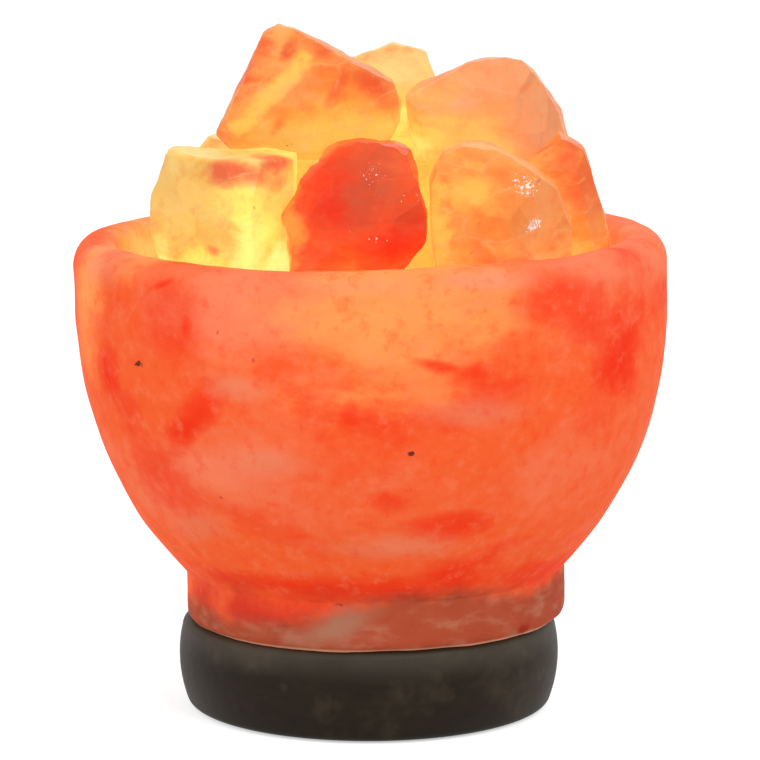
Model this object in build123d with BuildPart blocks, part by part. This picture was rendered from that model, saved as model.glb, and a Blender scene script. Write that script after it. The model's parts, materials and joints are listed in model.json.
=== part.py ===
"""Salt crystal lamp: a carved rock-salt bowl on a turned wooden base, heaped with loose salt crystals.

A small screw-in bulb stands in the middle of the bowl. Its holder is pushed up through the wooden base and
is held in the bowl's bore by two sprung wire wings, so the holder pulls out underneath to change the bulb.
The crystals lie loose, in columns: each one lifts straight up and takes along what rests on it.

Millimetres. +Z is up, the front is -Y, and the origin is on the table, under the middle of the base.
"""

from build123d import *

import os
from math import cos, radians, sin, sqrt

# ---------------------------------------------------------------- driving dimensions
# Wooden base
pad_height = 1.3  # the pads that the base stands on, each let into a shallow pocket
pad_radius = 5.0
pad_ring_radius = 39.0
base_bottom = 0.5
base_top = 23.4  # over the middle: the top is cut at a slight slant
base_belly_height = 10.8  # where the turned side is fullest
base_belly_radius = 48.9
base_bottom_radius = 46.4
base_blank_top = 25.4  # the turned blank, before its top is cut
base_blank_top_radius = 46.75
base_bottom_round = 2.5
base_top_round = 2.2
base_bore_radius = 19.3
base_recess_radius = 21.5  # the wider bore underneath, which takes the holder's plate
base_recess_top = 15.3
cord_groove_width = 8.0
cord_groove_depth = 8.5
screw_ring_radius = 33.0
screw_count = 3
screw_shank_radius = 2.0
screw_head_radius = 4.0
screw_length = 30.0
screw_head_depth = 2.0

# Salt bowl: hand-made, so it stands a little to the right on its base, and leans a little to the left
bowl_shift = 1.8
bowl_lean = radians(0.8)
foot_radius = 49.0
bowl_underside = 36.5  # where the round of the bowl meets its foot
bowl_radius = 76.1
bowl_widest_height = 105.0
bowl_side_curve = 100.0  # radius of the outer side, seen in section
bowl_wall = 12.0
bowl_floor = 50.0
bowl_top = 122.5
bowl_rim_outer_round = 6.0
bowl_rim_inner_round = 3.5
bowl_floor_round = 6.0
foot_round = 2.5
bowl_bore_radius = 19.0

# Lamp holder, for a small candelabra screw cap
plate_bottom = 14.0
plate_thickness = 1.0
plate_radius = 20.8
nipple_radius = 5.0
nipple_bore_radius = 3.6
nipple_bottom = 9.0
holder_radius = 12.6
holder_joint_height = 24.0  # where the holder's cap meets its body
holder_top = 50.0
holder_wall = 1.6
web_bottom = 28.0
web_top = 31.0
liner_radius = 6.3  # the brass screw shell, inside
liner_thickness = 0.4

# Spring wings
wire_radius = 0.8
wing_pivot_x = 15.2
wing_pivot_height = 17.6
lug_gap = 11.2  # between the two lugs that carry one wing
lug_thickness = 1.0

# Bulb
cap_bottom = 36.0
cap_crest_radius = 5.95
cap_root_radius = 5.6
thread_pitch = 2.54
thread_turns = 4
cap_shell_bottom = 39.2
cap_shell_top = 50.6
glass_radius = 11.0
glass_neck_radius = 5.0
glass_wall = 0.7
glass_shoulder_height = 64.0
glass_top = 90.0
filament_height = 69.0
filament_half_span = 4.6

# Crystals
crystal_edge_round = 1.2  # how far handling has worn their edges
crystal_gap = 0.3  # between a lump and what it rests on
floor_rise = 0.7  # how much higher the bowl's leaning floor is at the right than in the middle
bedding_top = 106.0  # top of the lumps that fill the bowl


# ---------------------------------------------------------------- helpers
def leaning(centre_distance, height, normal=None):
    """A plane in the bowl's own leaning frame, through a point of its axis's plane.

    centre_distance is measured to the right of the base's axis, height up from the table. The plane faces
    up the bowl's axis, or along normal if one is given.
    """
    right = Vector(cos(bowl_lean), 0, sin(bowl_lean))
    up = Vector(-sin(bowl_lean), 0, cos(bowl_lean))
    origin = Vector(0, 0, base_top) + right * centre_distance + up * (height - base_top)
    return Plane(origin=origin, x_dir=right, z_dir=normal or up)


def keep(builder, name):
    """Labels one finished piece and writes it out as its own file."""
    builder.part.label = name
    export_step(builder.part, f"parts/{name}.step")


def turned(outline):
    """Turns a closed outline of (radius, height) points, joined by straight lines, about the upright axis."""
    with BuildSketch(Plane.XZ) as profile:
        with BuildLine():
            Polyline(*outline, close=True)
        make_face()
    revolve(profile.sketch, axis=Axis.Z)


# ---------------------------------------------------------------- wooden base
def make_wooden_base():
    with BuildPart() as wooden_base:
        with BuildSketch(Plane.XZ):
            with BuildLine():
                Line((0, base_bottom), (base_bottom_radius, base_bottom))
                ThreePointArc(
                    (base_bottom_radius, base_bottom),
                    (base_belly_radius, base_belly_height),
                    (base_blank_top_radius, base_blank_top),
                )
                Line((base_blank_top_radius, base_blank_top), (0, base_blank_top))
                Line((0, base_blank_top), (0, base_bottom))
            make_face()
        revolve(axis=Axis.Z)
        split(bisect_by=leaning(0, base_top), keep=Keep.BOTTOM)
        fillet(wooden_base.edges().group_by(Axis.Z)[0], radius=base_bottom_round)
        fillet(wooden_base.faces().sort_by(Axis.Z)[-1].edges(), radius=base_top_round)
        Hole(radius=base_bore_radius)
        with BuildSketch():
            Circle(base_recess_radius)
        extrude(amount=base_recess_top, mode=Mode.SUBTRACT)
        # The groove that the lead leaves by, from the bore out to the back.
        groove_length = base_belly_radius + 2
        with Locations((0, groove_length / 2, base_bottom + cord_groove_depth / 2)):
            Box(cord_groove_width, groove_length, cord_groove_depth, mode=Mode.SUBTRACT)
        pocket_depth = pad_height - base_bottom
        with PolarLocations(pad_ring_radius, 4, start_angle=45):
            with Locations((0, 0, base_bottom)):
                Cylinder(
                    pad_radius + 0.3,
                    2 * pocket_depth,
                    mode=Mode.SUBTRACT,
                )
        # Countersunk holes, drilled from underneath.
        underside = Plane(origin=(0, 0, base_bottom), x_dir=(1, 0, 0), z_dir=(0, 0, -1))
        with Locations(underside):
            with PolarLocations(screw_ring_radius, screw_count, start_angle=-30):
                CounterSinkHole(
                    radius=screw_shank_radius + 0.2,
                    counter_sink_radius=screw_head_radius + 0.5,
                    depth=base_top + 2,
                    counter_sink_angle=90,
                )
    keep(wooden_base, "wooden_base")


def make_foot_pads():
    for number in range(4):
        angle = radians(45 + 90 * number)
        spot = (pad_ring_radius * cos(angle), pad_ring_radius * sin(angle), 0)
        with BuildPart() as pad:
            with BuildSketch(Plane(origin=spot)):
                Circle(pad_radius)
            extrude(amount=pad_height)
            chamfer(pad.edges().group_by(Axis.Z)[0], length=0.4)
        keep(pad, f"foot_pad_{number + 1}")


def make_base_screws():
    head_bottom = base_bottom + 0.3
    slot_depth = 1.2
    point_height = 5.0
    shank_top = head_bottom + screw_length - point_height
    with BuildPart() as base_screws:
        with PolarLocations(screw_ring_radius, screw_count, start_angle=30):
            with Locations((0, 0, head_bottom)):
                Cone(
                    screw_head_radius,
                    screw_shank_radius,
                    screw_head_depth,
                    align=(Align.CENTER, Align.CENTER, Align.MIN),
                )
                Cylinder(
                    screw_shank_radius,
                    shank_top - head_bottom,
                    align=(Align.CENTER, Align.CENTER, Align.MIN),
                )
            with Locations((0, 0, shank_top)):
                Cone(
                    screw_shank_radius,
                    0.4,
                    point_height,
                    align=(Align.CENTER, Align.CENTER, Align.MIN),
                )
            with Locations((0, 0, head_bottom)):
                for size in ((4.6, 0.9, slot_depth), (0.9, 4.6, slot_depth)):
                    Box(
                        *size,
                        align=(Align.CENTER, Align.CENTER, Align.MIN),
                        mode=Mode.SUBTRACT,
                    )
    keep(base_screws, "base_screws")


# ---------------------------------------------------------------- salt bowl
def side_radius(curve, height):
    """Radius of the bowl's side at a height, for a side whose section is an arc of this radius."""
    arc_centre = bowl_radius - bowl_side_curve
    return arc_centre + sqrt(curve**2 - (bowl_widest_height - height) ** 2)


def circles_at(bowl, height):
    """The bowl's round edges at a height, smallest first."""
    rounds = [
        edge
        for edge in bowl.edges().filter_by(GeomType.CIRCLE)
        if abs(edge.arc_center.Z - height) < 0.2
    ]
    return sorted(rounds, key=lambda edge: edge.radius)


def make_salt_bowl():
    arc_centre = (bowl_radius - bowl_side_curve, bowl_widest_height)
    inner_curve = bowl_side_curve - bowl_wall
    notch = (side_radius(bowl_side_curve, bowl_underside), bowl_underside)
    widest = (bowl_radius, bowl_widest_height)
    inner_widest = (bowl_radius - bowl_wall, bowl_widest_height)
    floor_corner = (side_radius(inner_curve, bowl_floor), bowl_floor)

    def arc_middle(curve, low, high):
        """A point half way along the side's arc, between two heights."""
        height = (low + high) / 2
        return (side_radius(curve, height), height)

    with BuildPart() as salt_bowl:
        with BuildSketch(leaning(bowl_shift, 0, normal=(0, -1, 0))):
            with BuildLine():
                Line((0, bowl_underside), notch)
                outer_middle = arc_middle(
                    bowl_side_curve, bowl_underside, bowl_widest_height
                )
                ThreePointArc(notch, outer_middle, widest)
                Line(widest, (bowl_radius, bowl_top))
                Line((bowl_radius, bowl_top), (bowl_radius - bowl_wall, bowl_top))
                Line((bowl_radius - bowl_wall, bowl_top), inner_widest)
                inner_middle = arc_middle(inner_curve, bowl_floor, bowl_widest_height)
                ThreePointArc(inner_widest, inner_middle, floor_corner)
                Line(floor_corner, (0, bowl_floor))
                Line((0, bowl_floor), (0, bowl_underside))
            make_face()
        upright = leaning(bowl_shift, 0)
        revolve(axis=Axis(upright.origin, upright.z_dir))
        fillet(circles_at(salt_bowl, bowl_top)[-1], radius=bowl_rim_outer_round)
        fillet(circles_at(salt_bowl, bowl_top)[0], radius=bowl_rim_inner_round)
        fillet(circles_at(salt_bowl, bowl_floor)[-1], radius=bowl_floor_round)
        # The foot, which stands on the wood.
        with BuildSketch(leaning(bowl_shift, base_top)):
            Circle(foot_radius)
        extrude(amount=bowl_underside - base_top + 2)
        fillet(circles_at(salt_bowl, base_top)[-1], radius=foot_round)
        Hole(radius=bowl_bore_radius)
        # Pilot holes for the screws that come up through the wood.
        foot_face = Plane(origin=(0, 0, base_top - 1), x_dir=(1, 0, 0), z_dir=(0, 0, -1))
        with Locations(foot_face):
            with PolarLocations(screw_ring_radius, screw_count, start_angle=-30):
                Hole(radius=screw_shank_radius + 0.05, depth=11.0)
    keep(salt_bowl, "salt_bowl")


# ---------------------------------------------------------------- crystals
def crystal(name, outline, near, far, breaks):
    """Hews one lump of salt.

    outline is its silhouette from the front as (x, z) points, near and far are the y of its front and back
    faces. Each break is (azimuth, elevation, bite): it looks along that direction, 0 right, 90 back, 180
    left and 270 front, and knocks a flat off the corner that stands out furthest, that many millimetres in.
    """
    with BuildPart() as stone:
        with BuildSketch(Plane.XZ.offset(-far)):
            with BuildLine():
                Polyline(*outline, close=True)
            make_face()
        extrude(amount=far - near)
        for azimuth, elevation, bite in breaks:
            level = cos(radians(elevation))
            outward = Vector(
                level * cos(radians(azimuth)),
                level * sin(radians(azimuth)),
                sin(radians(elevation)),
            )
            furthest = max(Vector(*corner).dot(outward) for corner in stone.vertices())
            split(
                bisect_by=Plane(origin=outward * (furthest - bite), z_dir=outward),
                keep=Keep.BOTTOM,
            )
        fillet(stone.edges(), radius=crystal_edge_round)
    keep(stone, name)


def make_bedding_crystals():
    """The lumps that fill the bowl round the bulb, out of sight, up to just below the rim."""
    low = bowl_floor + floor_rise + crystal_gap
    top = bedding_top
    crystal(
        "bedding_front_left",
        [(-46, 64), (-37, low), (-23, low), (-22, 60), (-22, top), (-48, top), (-53, 88)],
        -50,
        -17.5,
        [(230, -15, 21.5), (215, 20, 7.5), (275, -30, 9.5), (40, 10, 2.5)],
    )
    crystal(
        "bedding_front",
        [(-15, 60), (-9, low), (7, low), (12, 58), (13, 98), (7, top), (-11, top)],
        -55,
        -18.5,
        [(270, -35, 15), (245, 10, 5), (300, 25, 8), (95, 30, 4)],
    )
    crystal(
        "bedding_front_right",
        [(15, 62), (18, low), (34, low), (45, 66), (52, 84), (49, top), (20, top), (15, 96)],
        -50,
        -19,
        [(310, -18, 20.5), (325, 15, 7.5), (268, -30, 8.5), (150, 20, 2.5)],
    )
    crystal(
        "bedding_left",
        [(-43, 58), (-36, low), (-20, low), (-16, 62), (-17, 100), (-24, top), (-54, top), (-58, 88)],
        -15.5,
        15,
        [(215, -10, 6), (140, -20, 7), (20, 25, 5), (180, -35, 4)],
    )
    crystal(
        "bedding_right",
        [(16, 64), (20, low), (37, low), (46, 60), (58, 86), (57, 102), (50, top), (18, top)],
        -17,
        25,
        [(330, -12, 8), (40, -25, 9), (35, 20, 6), (0, -35, 4), (165, 10, 3)],
    )
    crystal(
        "bedding_back_left",
        [(-41, 66), (-32, low), (-18, low), (-16, 62), (-16, top), (-46, top), (-50, 90)],
        16.5,
        50,
        [(130, -15, 18), (145, 20, 8), (85, -30, 9), (300, 10, 5)],
    )
    crystal(
        "bedding_back",
        [(-14, 64), (-8, low), (13, low), (18, 60), (19, 100), (12, top), (-12, top)],
        27.5,
        56,
        [(90, -33, 16), (115, 12, 4), (60, -10, 6), (270, 20, 3)],
    )
    crystal(
        "bedding_back_right",
        [(21, 64), (24, low), (36, low), (44, 70), (48, 90), (46, top), (22, top), (20.5, 90)],
        27.5,
        52,
        [(50, -20, 20.5), (45, 20, 6), (95, -30, 8.5), (235, 10, 3.5)],
    )


def make_upper_crystals():
    """The lumps that stand above the rim, and the two that carry the topmost ones."""
    low = bedding_top + crystal_gap
    crystal(
        "crystal_front_left",
        [(-49, low), (-54, 126), (-54.2, 139.5), (-52.5, 145.8), (-48, 147.2), (-17.4, 146), (-18.5, low)],
        -54,
        -18,
        [(333, 0, 9.1), (222, 0, 17.5), (262, 28, 4.5), (215, -35, 8.5), (180, 20, 2), (85, 35, 4.5)],
    )
    crystal(
        "crystal_front_red",
        [
            (-17, low),
            (-21.3, 133),
            (-17, 141.5),
            (-8, 148.9),
            (-3, 150.4),
            (7, 150),
            (10.8, 148),
            (14.3, 133),
            (13.2, 126.5),
            (6.5, 115),
            (3, low),
        ],
        -59,
        -18,
        [(153, 0, 11.3), (255, 15, 6), (300, -6, 4), (268, 42, 9), (235, -25, 5), (75, 30, 8)],
    )
    crystal(
        "crystal_front_right",
        [
            (17, low),
            (14.8, 140),
            (18, 147.5),
            (23, 149.6),
            (31, 149),
            (40, 143.5),
            (46.5, 138.5),
            (50.5, 129),
            (50.5, 116),
            (45, low),
        ],
        -53,
        -19,
        [(318, 4, 11.5), (246, 5, 5.5), (282, 38, 9.5), (320, -30, 8), (80, 40, 5.5)],
    )
    crystal(
        "crystal_right",
        [(38, low), (38.5, 141), (48.5, 148.5), (54.3, 145), (57.5, 136), (60, 128), (61.5, 122), (60.5, low)],
        -17,
        12,
        [(135, 0, 13.5), (320, 10, 4), (30, 25, 4.5), (345, -25, 5.5), (275, 35, 5)],
    )
    crystal(
        "prop_left",
        [(-37, low), (-39, 136), (-33, 143.2), (-2, 143.2), (6, 132), (6, 114), (0, low)],
        -15.5,
        14,
        [(205, 5, 6.5), (120, 15, 5), (325, -20, 7.5), (45, -15, 6.5)],
    )
    crystal(
        "crystal_top_left",
        [
            (-33, 143.5),
            (-39, 148.5),
            (-26.8, 173.5),
            (-23, 176),
            (-18.5, 175.3),
            (6.5, 161.8),
            (8.4, 156.5),
            (8, 151),
            (2, 143.5),
        ],
        -16.5,
        15,
        [(250, 40, 9.5), (300, 8, 2.5), (75, 35, 10.5), (120, -10, 6), (215, -20, 3.5)],
    )
    crystal(
        "prop_right",
        [(10, low), (8.5, 128), (12, 139.2), (38, 139.2), (41, 128), (39, low)],
        1,
        25.5,
        [(325, 5, 6.5), (50, 15, 5), (150, -20, 5.5), (230, 10, 4.5)],
    )
    crystal(
        "crystal_top_right",
        [
            (11, 139.5),
            (8.9, 156),
            (19, 162.4),
            (30, 166.5),
            (35, 167.4),
            (39.5, 166.2),
            (43, 163),
            (50, 151.5),
            (52, 144),
            (46, 139.5),
        ],
        -1,
        26,
        [(317, 0, 11), (265, 40, 7), (80, 45, 10), (120, 10, 6), (205, -15, 4)],
    )
    crystal(
        "crystal_back_left",
        [(-47, low), (-50, 128), (-46, 139.5), (-41.5, 144.4), (-34, 143), (-19, 132), (-17, low)],
        17,
        49,
        [(132, 0, 15.5), (92, 30, 5.5), (145, -30, 9.5), (250, 30, 5), (45, 10, 4)],
    )
    crystal(
        "prop_back",
        [(-13, low), (-15, 126), (-10, 137.2), (15, 137.2), (19.5, 124), (18, low)],
        27.5,
        58,
        [(88, 20, 6), (125, -5, 6.5), (55, 5, 7.5), (92, -25, 5)],
    )
    crystal(
        "crystal_back",
        [(-11, 137.5), (-14, 152), (-7.5, 163), (6.3, 167.8), (15.5, 166), (20, 150), (14, 137.5)],
        27.5,
        53,
        [(85, 35, 10), (120, 5, 7), (55, -10, 9), (270, 40, 6), (200, 10, 1)],
    )
    crystal(
        "crystal_back_right",
        [(23, low), (21, 128), (26, 139), (40, 140), (47, 130), (49, 116), (45, low)],
        27.5,
        54,
        [(48, 5, 12), (80, 38, 8.5), (40, -30, 5.5), (130, 20, 3)],
    )


# ---------------------------------------------------------------- lamp holder
def make_clip_plate():
    lug_height = wing_pivot_height + 2.0 - plate_bottom
    lug_width = 4.4
    lug_y = lug_gap / 2 + lug_thickness / 2
    with BuildPart() as clip_plate:
        with BuildSketch(Plane.XY.offset(plate_bottom)):
            Circle(plate_radius)
            Circle(nipple_radius + 0.05, mode=Mode.SUBTRACT)
        extrude(amount=plate_thickness)
        for side in (-1, 1):
            for end in (-1, 1):
                with Locations((side * wing_pivot_x, end * lug_y, plate_bottom)):
                    Box(
                        lug_width,
                        lug_thickness,
                        lug_height,
                        align=(Align.CENTER, Align.CENTER, Align.MIN),
                    )
        corners = clip_plate.edges().filter_by(Axis.Y).group_by(Axis.Z)[-1]
        fillet(corners, radius=1.4)
        for side in (-1, 1):
            pivot = (side * wing_pivot_x, 0, wing_pivot_height)
            with Locations(Plane(origin=pivot, z_dir=(0, 1, 0))):
                Cylinder(wire_radius + 0.08, lug_gap + 6, mode=Mode.SUBTRACT)
    keep(clip_plate, "clip_plate")


def make_nipple_and_nut():
    with BuildPart() as nipple:
        with BuildSketch(Plane.XY.offset(nipple_bottom)):
            Circle(nipple_radius)
            Circle(nipple_bore_radius, mode=Mode.SUBTRACT)
        extrude(amount=19.5 - nipple_bottom)
        outer_rims = nipple.edges().filter_by(GeomType.CIRCLE).sort_by(SortBy.RADIUS)[-2:]
        chamfer(outer_rims, length=0.5)
    keep(nipple, "threaded_nipple")

    nut_height = 3.0
    with BuildPart() as nut:
        with BuildSketch(Plane.XY.offset(plate_bottom - nut_height)):
            RegularPolygon(radius=8.1, side_count=6)
            Circle(nipple_radius + 0.05, mode=Mode.SUBTRACT)
        extrude(amount=nut_height)
        bottom_edges = nut.edges().filter_by(GeomType.LINE).group_by(Axis.Z)[0]
        chamfer(bottom_edges, length=0.4)
    keep(nut, "nipple_nut")


def make_cord_bush():
    """A soft bush in the nipple's mouth, which keeps the lead off the thread."""
    lip_bottom = nipple_bottom - 1.5
    with BuildPart() as cord_bush:
        turned(
            [
                (2.4, lip_bottom),
                (5.2, lip_bottom),
                (5.2, nipple_bottom),
                (nipple_bore_radius - 0.05, nipple_bottom),
                (nipple_bore_radius - 0.05, nipple_bottom + 5),
                (2.4, nipple_bottom + 5),
            ]
        )
        fillet(cord_bush.edges().group_by(Axis.Z)[0], radius=0.5)
    keep(cord_bush, "cord_bush")


def make_holder():
    cap_bottom_height = plate_bottom + plate_thickness
    cap_floor = 3.0
    with BuildPart() as holder_cap:
        turned(
            [
                (nipple_radius + 0.05, cap_bottom_height),
                (holder_radius - 1.0, cap_bottom_height),
                (holder_radius, cap_bottom_height + 3),
                (holder_radius, holder_joint_height),
                (holder_radius - holder_wall, holder_joint_height),
                (holder_radius - holder_wall, cap_bottom_height + cap_floor),
                (nipple_radius + 0.05, cap_bottom_height + cap_floor),
            ]
        )
    keep(holder_cap, "holder_cap")

    socket_radius = liner_radius + liner_thickness + 0.1
    mouth_radius = socket_radius + 0.8
    with BuildPart() as holder_body:
        turned(
            [
                (0, web_bottom),
                (holder_radius - holder_wall, web_bottom),
                (holder_radius - holder_wall, holder_joint_height),
                (holder_radius, holder_joint_height),
                (holder_radius, web_top + 2),
                (holder_radius - 2.2, web_top + 5),
                (holder_radius - 2.2, holder_top - 4),
                (holder_radius - 1.4, holder_top - 3),
                (holder_radius - 1.4, holder_top),
                (mouth_radius, holder_top),
                (socket_radius, holder_top - 1),
                (socket_radius, web_top),
                (0, web_top),
            ]
        )
        with Locations((0, 6, web_bottom), (0, -6, web_bottom)):
            Cylinder(1.5, 20, mode=Mode.SUBTRACT)
    keep(holder_body, "holder_body")

    liner_bottom = web_top + 0.6
    liner_top = holder_top - 1.6
    with BuildPart() as screw_shell:
        turned(
            [
                (liner_radius, liner_bottom),
                (liner_radius + liner_thickness, liner_bottom),
                (liner_radius + liner_thickness, liner_top),
                (liner_radius, liner_top),
            ]
        )
        first = liner_bottom + 2.5
        for turn in range(5):
            with Locations((0, 0, first + turn * thread_pitch)):
                Torus(liner_radius + liner_thickness, 0.22, mode=Mode.SUBTRACT)
        # The tab that the side terminal screw holds.
        with Locations((0, liner_radius - 0.2, liner_bottom)):
            Box(2.2, 1.1, 1.1)
    keep(screw_shell, "screw_shell")


def make_terminals():
    with BuildPart() as terminal_screws:
        with Locations((0, 6, web_bottom - 2.0), (0, -6, web_bottom - 2.0)):
            Cylinder(2.4, 2.0, align=(Align.CENTER, Align.CENTER, Align.MIN))
            Box(
                5.0,
                0.7,
                0.9,
                align=(Align.CENTER, Align.CENTER, Align.MIN),
                mode=Mode.SUBTRACT,
            )
        with Locations((0, 6, web_bottom), (0, -6, web_bottom)):
            Cylinder(1.4, 2.9, align=(Align.CENTER, Align.CENTER, Align.MIN))
    keep(terminal_screws, "terminal_screws")

    # A brass strip on the web, bent up so that it presses on the bulb's tip.
    strip_width = 3.4
    strip_thickness = 0.4
    with BuildPart() as centre_contact:
        with BuildSketch(Plane.YZ.offset(-strip_width / 2)):
            with BuildLine():
                Polyline(
                    (-5.6, web_top),
                    (1.5, web_top),
                    (3.2, web_top + 2.4),
                    (2.0, cap_bottom - 0.6),
                    (-2.0, cap_bottom - 0.3),
                    (-2.0, cap_bottom - 0.3 - strip_thickness),
                    (1.7, cap_bottom - 1.0),
                    (2.6, web_top + 2.4),
                    (1.2, web_top + strip_thickness),
                    (-5.6, web_top + strip_thickness),
                    close=True,
                )
            make_face()
        extrude(amount=strip_width)
    keep(centre_contact, "centre_contact")


def make_wings():
    """Two bows of spring wire. Each turns in its lugs and presses outwards on the wall of the bowl's bore."""
    leg_y = 4.3
    for name, side in (("clip_wing_left", -1), ("clip_wing_right", 1)):
        end_y = lug_gap / 2 + lug_thickness + 0.8
        reach_x = side * 17.4
        top_x = side * 15.8
        pivot_x = side * wing_pivot_x
        route = [
            (pivot_x, -end_y, wing_pivot_height),
            (pivot_x, -leg_y, wing_pivot_height),
            (reach_x, -leg_y, 33.0),
            (top_x, -leg_y + 0.6, 39.0),
            (top_x, leg_y - 0.6, 39.0),
            (reach_x, leg_y, 33.0),
            (pivot_x, leg_y, wing_pivot_height),
            (pivot_x, end_y, wing_pivot_height),
        ]
        with BuildPart() as wing:
            with BuildLine():
                wire_route = FilletPolyline(*route, radius=1.3)
            with BuildSketch(Plane(origin=wire_route @ 0, z_dir=wire_route % 0)):
                Circle(wire_radius)
            sweep(path=wire_route)
        keep(wing, name)


# ---------------------------------------------------------------- bulb
def make_bulb_cap():
    shell_bore = cap_root_radius - 0.3
    ridges = []
    for turn in range(thread_turns):
        foot = cap_shell_bottom + 0.5 + turn * thread_pitch
        ridges += [
            (cap_root_radius, foot),
            (cap_crest_radius, foot + thread_pitch * 0.35),
            (cap_crest_radius, foot + thread_pitch * 0.6),
            (cap_root_radius, foot + thread_pitch * 0.95),
        ]
    with BuildPart() as bulb_cap:
        turned(
            [
                (shell_bore, cap_shell_bottom),
                (cap_root_radius, cap_shell_bottom),
                *ridges,
                (cap_root_radius, cap_shell_top),
                (shell_bore, cap_shell_top),
            ]
        )
    keep(bulb_cap, "bulb_cap")

    with BuildPart() as insulator:
        turned(
            [
                (0, cap_bottom + 0.9),
                (2.8, cap_bottom + 0.9),
                (cap_root_radius - 0.3, cap_shell_bottom - 0.3),
                (cap_root_radius, cap_shell_bottom),
                (0, cap_shell_bottom),
            ]
        )
    keep(insulator, "bulb_cap_insulator")

    with BuildPart() as contact:
        with BuildSketch(Plane.XY.offset(cap_bottom)):
            Circle(2.3)
        extrude(amount=0.9)
        fillet(contact.edges().group_by(Axis.Z)[0], radius=0.6)
    keep(contact, "bulb_contact")


def glass_body(inset):
    """Adds or takes away the torpedo shape of the bulb's glass, drawn in by inset all round."""
    neck = glass_neck_radius - inset
    belly = glass_radius - inset
    bottom = 44.0 if inset == 0 else 43.0
    tip = glass_top - inset
    with BuildSketch(Plane.XZ) as profile:
        with BuildLine():
            Line((0, bottom), (neck, bottom))
            Line((neck, bottom), (neck, cap_shell_top + 0.4))
            shoulder = Spline(
                (neck, cap_shell_top + 0.4),
                (belly, glass_shoulder_height),
                tangents=((0.25, 1), (0, 1)),
            )
            TangentArc(
                (belly, glass_shoulder_height),
                (belly - 2.6, glass_shoulder_height + 15),
                tangent=shoulder % 1,
            )
            Spline(
                (belly - 2.6, glass_shoulder_height + 15),
                (0, tip),
                tangents=((-0.34, 1), (-1, 0)),
            )
            Line((0, tip), (0, bottom))
        make_face()
    mode = Mode.ADD if inset == 0 else Mode.SUBTRACT
    revolve(profile.sketch, axis=Axis.Z, mode=mode)


def make_bulb_glass():
    with BuildPart() as bulb_glass:
        glass_body(0)
        glass_body(glass_wall)
    keep(bulb_glass, "bulb_glass")

    stem_radius = glass_neck_radius - glass_wall
    with BuildPart() as stem:
        turned(
            [
                (0, 44.2),
                (stem_radius, 44.2),
                (stem_radius, 45.6),
                (2.4, 47.6),
                (2.0, 56.0),
                (0, 56.0),
            ]
        )
    keep(stem, "bulb_stem")

    wire = 0.25
    pinch_top = 56.0
    with BuildPart() as lead_wires:
        for side in (-1, 1):
            start = Vector(side * 1.1, 0, pinch_top)
            finish = Vector(side * filament_half_span, 0, filament_height)
            along = finish - start
            with BuildSketch(Plane(origin=start, z_dir=along)):
                Circle(wire)
            extrude(amount=along.length)
    keep(lead_wires, "bulb_lead_wires")

    # The filament is a coiled coil, shown as one fine arched rod of the coil's own width.
    ends = filament_half_span + 0.1
    low = filament_height + 0.7
    with BuildPart() as filament:
        with BuildLine():
            bow = ThreePointArc((-ends, 0, low), (0, 0, low + 1.6), (ends, 0, low))
        with BuildSketch(Plane(origin=bow @ 0, z_dir=bow % 0)):
            Circle(0.35)
        sweep(path=bow)
    keep(filament, "bulb_filament")


# ---------------------------------------------------------------- build
os.makedirs("parts", exist_ok=True)
make_wooden_base()
make_foot_pads()
make_base_screws()
make_salt_bowl()
make_bedding_crystals()
make_upper_crystals()
make_clip_plate()
make_nipple_and_nut()
make_cord_bush()
make_holder()
make_terminals()
make_wings()
make_bulb_cap()
make_bulb_glass()
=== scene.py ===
# %% [markdown]
# # A salt crystal lamp
# A bowl carved from rock salt stands on a round wooden base and is heaped with loose crystals. A small bulb
# in its middle lights the salt from inside, so most of what the eye sees is light that has come through it.
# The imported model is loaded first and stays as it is: each new piece takes the place of one of its nodes,
# and rides on the same body, so the lamp still comes apart as the real one does.

import json
import math

import bpy
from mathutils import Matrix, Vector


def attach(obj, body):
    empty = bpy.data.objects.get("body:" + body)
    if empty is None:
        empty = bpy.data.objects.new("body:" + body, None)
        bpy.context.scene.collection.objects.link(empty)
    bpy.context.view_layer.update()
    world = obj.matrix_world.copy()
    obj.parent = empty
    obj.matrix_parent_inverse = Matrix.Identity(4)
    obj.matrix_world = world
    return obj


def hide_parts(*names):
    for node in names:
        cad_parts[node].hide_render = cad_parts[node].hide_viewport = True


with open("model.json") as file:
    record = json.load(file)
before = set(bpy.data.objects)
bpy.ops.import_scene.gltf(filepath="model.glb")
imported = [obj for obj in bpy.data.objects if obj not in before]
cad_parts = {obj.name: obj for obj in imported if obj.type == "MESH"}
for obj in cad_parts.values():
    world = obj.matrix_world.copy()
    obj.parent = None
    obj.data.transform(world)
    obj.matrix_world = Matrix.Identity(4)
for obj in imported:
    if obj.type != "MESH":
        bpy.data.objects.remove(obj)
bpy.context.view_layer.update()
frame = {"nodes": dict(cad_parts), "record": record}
print("pieces in the model:", len(frame["nodes"]))

# %% [markdown]
# ## Small helpers
# Operators act on whatever is selected, and the loaded nodes start out selected. So before any operator runs,
# everything is let go of and just one object is taken up, as a click on it would do.

# %% Helpers for selecting and for modifiers
MM = 0.001


def take_up(piece):
    """Selects this one object and makes it the active one."""
    bpy.ops.object.select_all(action="DESELECT")
    piece.select_set(True)
    bpy.context.view_layer.objects.active = piece


def apply_modifier(piece, kind, name, **settings):
    """Adds a modifier, sets it up and applies it, so that only its result stays."""
    take_up(piece)
    modifier = piece.modifiers.new(name, kind)
    for setting, value in settings.items():
        setattr(modifier, setting, value)
    bpy.ops.object.modifier_apply(modifier=name)


def count_faces(piece):
    return f"{piece.name}: {len(piece.data.polygons)} faces"


# %% [markdown]
# Materials are node trees. One helper adds a node with its settings and its inputs in one go: an input is
# either a plain value or another node's socket, which is linked. Every material starts and ends alike, so
# that has its helpers too.


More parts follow.
